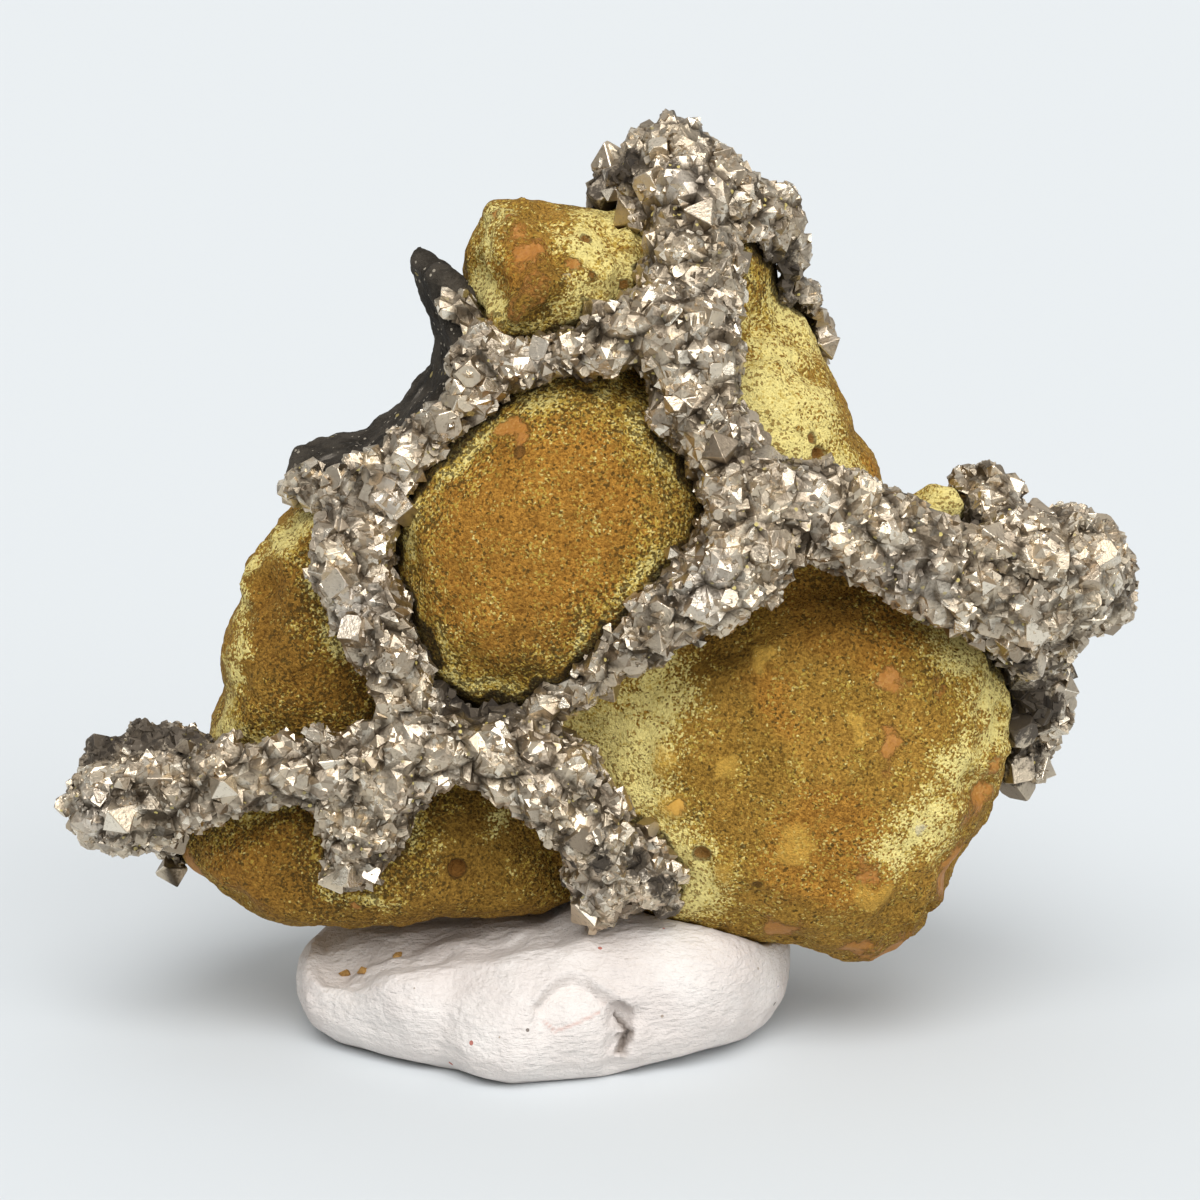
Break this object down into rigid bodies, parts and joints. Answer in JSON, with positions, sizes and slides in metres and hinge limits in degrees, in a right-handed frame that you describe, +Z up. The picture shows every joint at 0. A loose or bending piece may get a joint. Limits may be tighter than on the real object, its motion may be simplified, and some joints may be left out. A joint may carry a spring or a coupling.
{
  "type": "pyrite mineral specimen",
  "caption": "Ochre rock nodule netted over by thick ribs of intergrown pyrite crystals, with a curved shale wall, stood up on a pat of mounting putty",
  "frame": {"origin": "on the ground, under the middle of the whole specimen's box", "axes": "+X to the right along the specimen's width, +Y from its front to its back, +Z up"},
  "size_m": [0.0982, 0.045, 0.0852],
  "materials": {
    "ochre_matrix": "dull, earthy rock",
    "pyrite_ribs": "metallic crystal faces",
    "shale_wall": "dull, rough stone",
    "mounting_putty": "matte kneaded putty"
  },
  "bodies": {
    "root": {"ochre_matrix": "ochre_matrix", "pyrite_ribs": "pyrite_ribs", "shale_wall": "shale_wall", "mounting_putty": "mounting_putty"}
  },
  "joints": []
}
